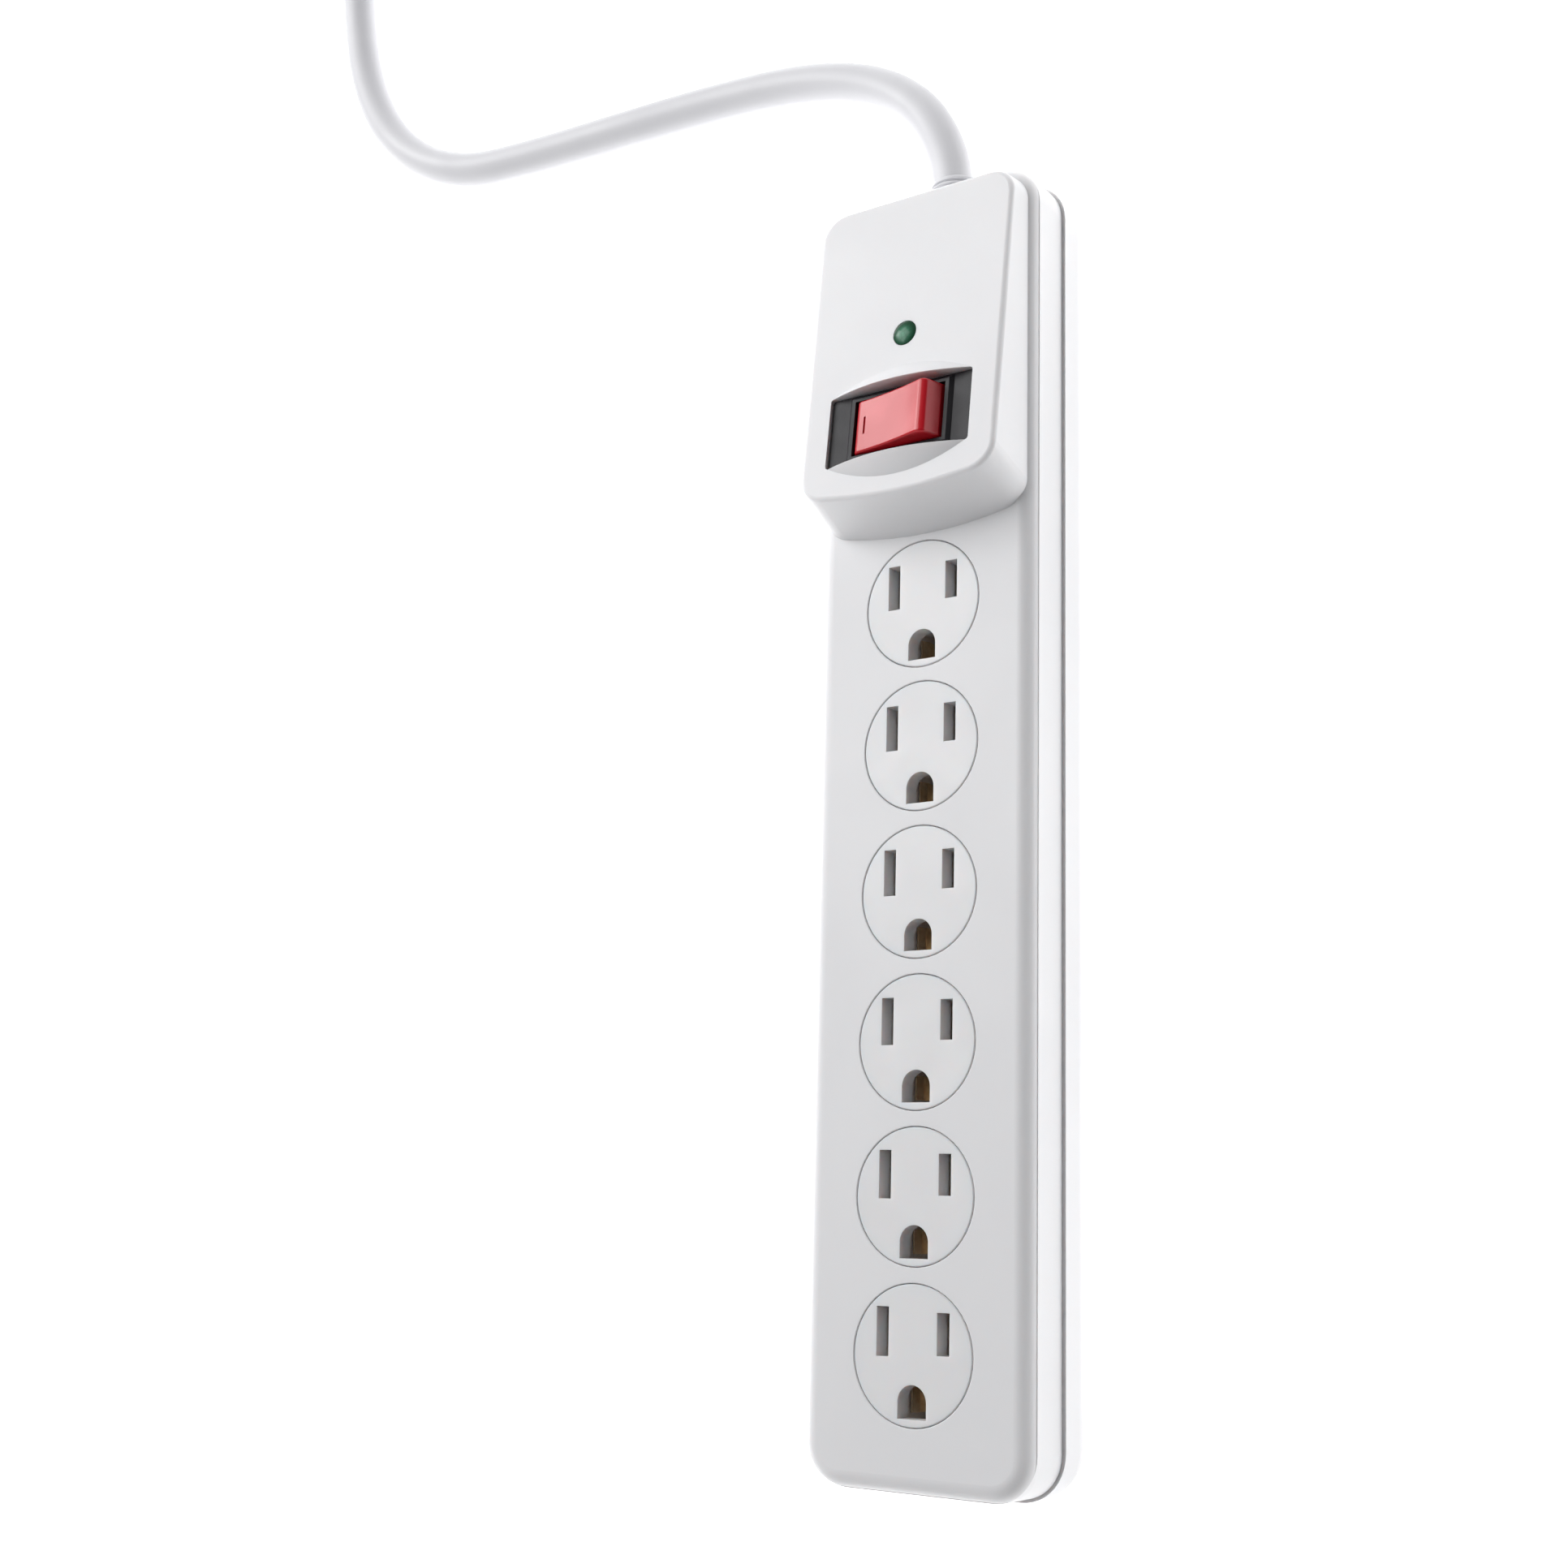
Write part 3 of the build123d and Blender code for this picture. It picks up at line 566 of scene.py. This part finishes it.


# The warm grey of the painted shade that the white shells lay in their joints.
painted_joint_tint = (0.30, 0.25, 0.23)
finishes = {
    "case_white": moulded(
        "case_white", (0.80, 0.80, 0.815), (0.775, 0.775, 0.792), 0.42, 0.10,
        painted_joint_shade=(painted_joint_tint, 0.0022, 0.25),
        settings={"Subsurface Weight": 0.4, "Subsurface Radius": (1.0, 0.85, 0.8),
                  "Subsurface Scale": 0.0012}),
    "outlet_white": moulded(
        "outlet_white", (0.80, 0.80, 0.812), (0.775, 0.773, 0.785), 0.34, 0.10, 3200.0, 60.0,
        0.25, painted_joint_shade=(painted_joint_tint, 0.0022, 0.25),
        settings={"Subsurface Weight": 0.6, "Subsurface Radius": (1.0, 0.72, 0.6),
                  "Subsurface Scale": 0.0022}),
    "inner_plastic": moulded(
        "inner_plastic", (0.86, 0.82, 0.79), (0.80, 0.75, 0.72), 0.55, 0.1, 2200.0, 60.0,
        settings={"Subsurface Weight": 0.6, "Subsurface Radius": (1.0, 0.8, 0.7),
                  "Subsurface Scale": 0.0022}),
    "cord_vinyl": moulded(
        "cord_vinyl", (0.69, 0.69, 0.715), (0.65, 0.65, 0.68), 0.46, 0.14, 1500.0, 30.0,
        0.3, 3e-5, touch=(26.0, 0.5)),
    "tie_black": moulded(
        "tie_black", (0.022, 0.022, 0.024), (0.035, 0.035, 0.037), 0.42, 0.15, 1800.0, 90.0),
    "board_green": moulded(
        "board_green", (0.03, 0.20, 0.08), (0.05, 0.27, 0.11), 0.35, 0.15, 900.0, 150.0),
    "varistor_blue": moulded(
        "varistor_blue", (0.03, 0.12, 0.42), (0.05, 0.17, 0.52), 0.25, 0.12, 700.0, 200.0),
    "part_grey": moulded(
        "part_grey", (0.30, 0.30, 0.31), (0.38, 0.38, 0.38), 0.45, 0.12, 1200.0, 200.0),
    "lead_white": moulded(
        "lead_white", (0.78, 0.78, 0.76), (0.70, 0.70, 0.68), 0.4, 0.12, 1400.0, 60.0),
    "lead_green": moulded(
        "lead_green", (0.03, 0.33, 0.10), (0.04, 0.40, 0.13), 0.4, 0.12, 1400.0, 60.0),
    "lead_black": moulded(
        "lead_black", (0.02, 0.02, 0.022), (0.035, 0.035, 0.035), 0.4, 0.12, 1400.0, 60.0),
}
print("moulded finishes:", len(finishes))

# %% [markdown]
# ## Switch and lamp
# The switch body is black nylon with a matte spark grain that catches grey on its edges. The key
# is a red plastic with a polished face: one low roughness over a deep colour, so that it looks
# pale only where it mirrors a light. The lamp's lens is green glassy plastic with painted light
# and shade in its colour: painted dark at its rim, as painted shade where it meets the wall of the
# hole, and painted lighter in the middle, as painted light from the lamp below showing through.

# %% Switch finishes
finishes["switch_black"] = moulded(
    "switch_black", (0.012, 0.012, 0.015), (0.022, 0.021, 0.025), 0.46, 0.14, 2400.0, 120.0,
    0.5, 3e-5, ior=1.36)
finishes["rocker_red"] = moulded(
    "rocker_red", (0.58, 0.009, 0.020), (0.49, 0.007, 0.015), 0.20, 0.08, 1900.0, 90.0,
    0.12, 1e-5, touch=(60.0, 0.5), polish=-0.06, ior=1.46)


# %% Lens finish
def lens_finish(name, centre, radius):
    """Green with painted shade at the rim and painted light in the middle, with fine rays under
    the surface.
    """
    material, tree, shader, place = new_finish(name)
    moved = add(tree, "ShaderNodeMapping", {"Vector": place, "Location": tuple(-centre)})
    flat = add(tree, "ShaderNodeVectorMath", {0: moved.outputs[0], 1: (1.0, 1.0, 0.0)},
               operation="MULTIPLY")
    far = add(tree, "ShaderNodeVectorMath", {0: flat.outputs[0]}, operation="LENGTH").outputs[1]
    # Painted light and shade: a factor that is 1 in the middle and 0 at the rim lifts the dark
    # green of the painted rim shade to a light green of painted lamp light.
    painted_light_mask = steps(tree, far, 0.15 * radius, 0.95 * radius, 1.0, 0.0)
    cell = add(tree, "ShaderNodeTexVoronoi", {"Vector": place, "Scale": 1400.0})
    facet = calc(tree, "MULTIPLY", cell.outputs["Distance"], 0.5)
    painted_lamp_light = calc(tree, "MULTIPLY", painted_light_mask, calc(tree, "SUBTRACT", 1.0, facet))
    colour = blend_colour(tree, painted_lamp_light, rgba((0.004, 0.050, 0.020)), rgba((0.070, 0.270, 0.160)))
    fill(tree, shader.inputs["Base Color"], colour)
    rough = calc(tree, "MULTIPLY_ADD", cell.outputs["Distance"], 0.12, 0.12)
    fill(tree, shader.inputs["Roughness"], rough)
    fill(tree, shader.inputs["Normal"], relief_normal(tree, facet, 0.2, 2e-5))
    shader.inputs["IOR"].default_value = 1.33
    return material


lens_low, lens_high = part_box("lamp_lens")
lens_centre = 0.5 * (Vector(lens_low) + Vector(lens_high))
finishes["lens_green"] = lens_finish("lens_green", lens_centre, 0.0026)
print("lens centre", [round(v, 4) for v in lens_centre])


# %% [markdown]
# ## Metal
# Contacts and blades are stamped from rolled brass strip, so their streaks run along the
# strip. The screws and the spring are zinc plated steel, a colder and flatter grey.

# %% Metal finishes
def drawn(name, colour, tarnish, stretch, roughness=0.25, spread=0.25, bump=0.25):
    """A rolled metal with streaks; the stretch is the pattern's fineness on each axis."""
    material, tree, shader, place = new_finish(name)
    metal = use_group(tree, metal_group, {
        "Place": place, "Stretch": stretch, "Colour": rgba(colour), "Tarnish": rgba(tarnish),
        "Roughness": roughness, "Spread": spread,
    })
    fill(tree, shader.inputs["Base Color"], metal["Colour"])
    fill(tree, shader.inputs["Roughness"], metal["Roughness"])
    fill(tree, shader.inputs["Normal"], relief_normal(tree, metal["Height"], bump, 1e-5))
    shader.inputs["Metallic"].default_value = 1.0
    return material


finishes["brass"] = drawn(
    "brass", (0.90, 0.78, 0.60), (0.74, 0.58, 0.42), (160.0, 2200.0, 2200.0))
finishes["copper"] = drawn(
    "copper", (0.80, 0.46, 0.31), (0.52, 0.28, 0.18), (160.0, 2200.0, 2200.0))
finishes["steel"] = drawn(
    "steel", (0.62, 0.62, 0.63), (0.42, 0.42, 0.43), (900.0, 900.0, 300.0), 0.3, 0.2)

# %% [markdown]
# ## Finishes on the model's parts
# The record names the slot of every part. A part whose shape is right keeps its own mesh and
# only changes its material; the soft pieces made above take theirs the same way.

# %% Assign
def wear(thing, finish):
    """Puts a finish on an object, in every material slot it has."""
    if not thing.material_slots:
        thing.data.materials.append(finish)
    for slot in thing.material_slots:
        slot.material = finish


for part in frame["record"]["subparts"]:
    wear(nodes[part["node"]], finishes[part["material_slot"]])
for thing in (supply_cord, plug_moulding, relief_sleeve):
    wear(thing, finishes["cord_vinyl"])
for thing in (coil_tie, tie_head):
    wear(thing, finishes["tie_black"])
print("finishes in use:", len(finishes))

# %% [markdown]
# ## Floor and light
# A white product on white is lit as on a light table. The floor glows strongly, so the walls
# that face sideways are the brightest and hardly any shadow falls beside the case. The price
# is high from behind and low down: there the white side and end walls are as bright as the
# floor and can't be told from it. A dimmer floor would show them better. The main panel
# stands above, to the left and behind, and the room on the right is dark above the level of
# the table, so the rounded shoulder on the right comes out a little darker than the face.

# %% Floor
floor_glow = 1.20


def floor_sheet(half=4.0):
    """A square sheet at z = 0, just under the case, with a pale glowing surface."""
    level = -1e-5
    corners = [(x, y, level) for x, y in (
        (-half, -half), (half, -half), (half, half), (-half, half))]
    mesh = bpy.data.meshes.new("floor")
    mesh.from_pydata(corners, [], [(0, 1, 2, 3)])
    material = bpy.data.materials.new("floor_paper")
    material.use_nodes = True
    shader = material.node_tree.nodes["Principled BSDF"]
    shader.inputs["Base Color"].default_value = (0.9, 0.9, 0.9, 1.0)
    shader.inputs["Roughness"].default_value = 0.9
    shader.inputs["Emission Color"].default_value = (1.0, 1.0, 1.0, 1.0)
    shader.inputs["Emission Strength"].default_value = floor_glow
    mesh.materials.append(material)
    sheet = bpy.data.objects.new("floor", mesh)
    bpy.context.scene.collection.objects.link(sheet)
    return sheet


floor_sheet()


# %% [markdown]
# Two panels light the top. The large one gives the even light on the face. The small one
# stands where the key's sloping top mirrors it, as a soft box is placed for a glossy part.

# %% Panels
def panel(name, place, aim, wide, high, power):
    """A soft rectangular light at a place, turned so that its -Z looks at the aim."""
    data = bpy.data.lights.new(name, "AREA")
    data.shape = "RECTANGLE"
    data.size = wide
    data.size_y = high
    data.energy = power
    thing = bpy.data.objects.new(name, data)
    back = (Vector(place) - Vector(aim)).normalized()
    thing.matrix_world = stand(Vector(place), Vector((0, 0, 1)).cross(back), back)
    bpy.context.scene.collection.objects.link(thing)
    return thing


case_middle = Vector((0.0, 0.0, 0.02))
switch_middle = Vector((0.0, 0.072, 0.034))
panel("key_panel", (-0.74, 0.66, 1.19), case_middle, 1.1, 1.1, 15.0)
panel("left_panel", (-1.10, 0.80, 0.66), switch_middle, 0.40, 0.40, 3.0)
print("panels: 2, floor glow", floor_glow)


# %% [markdown]
# The room is a world worked out from the direction alone: one level everywhere, a dark side
# found by the dot product with a direction, and a bright strip just above the table.

# %% Room
dark_side = (0.80, -0.30, 0.52)


def room(high, low, strip):
    """A world that is bright but for a dark part on the right, above a bright low strip."""
    world = bpy.data.worlds.new("studio")
    world.use_nodes = True
    tree = world.node_tree
    way = add(tree, "ShaderNodeTexCoord").outputs["Generated"]
    toward = add(tree, "ShaderNodeVectorMath", {0: way, 1: dark_side},
                 operation="DOT_PRODUCT").outputs["Value"]
    dark = steps(tree, toward, 0.25, 0.75)
    height = add(tree, "ShaderNodeSeparateXYZ", {0: way}).outputs["Z"]
    above = steps(tree, height, 0.02, 0.14)
    level = calc(tree, "MULTIPLY_ADD", calc(tree, "MULTIPLY", dark, above), low - high, high)
    near = calc(tree, "MULTIPLY", calc(tree, "SUBTRACT", 1.0, above), strip)
    back = tree.nodes["Background"]
    back.inputs["Color"].default_value = (1.0, 1.0, 1.0, 1.0)
    fill(tree, back.inputs["Strength"], calc(tree, "ADD", level, near))
    return world


bpy.context.scene.world = room(0.58, 0.04, 1.25)
bpy.context.scene.view_settings.view_transform = "Standard"

# %% [markdown]
# ## Last update
# The view layer is brought up to date once more.

# %% Finish
bpy.context.view_layer.update()
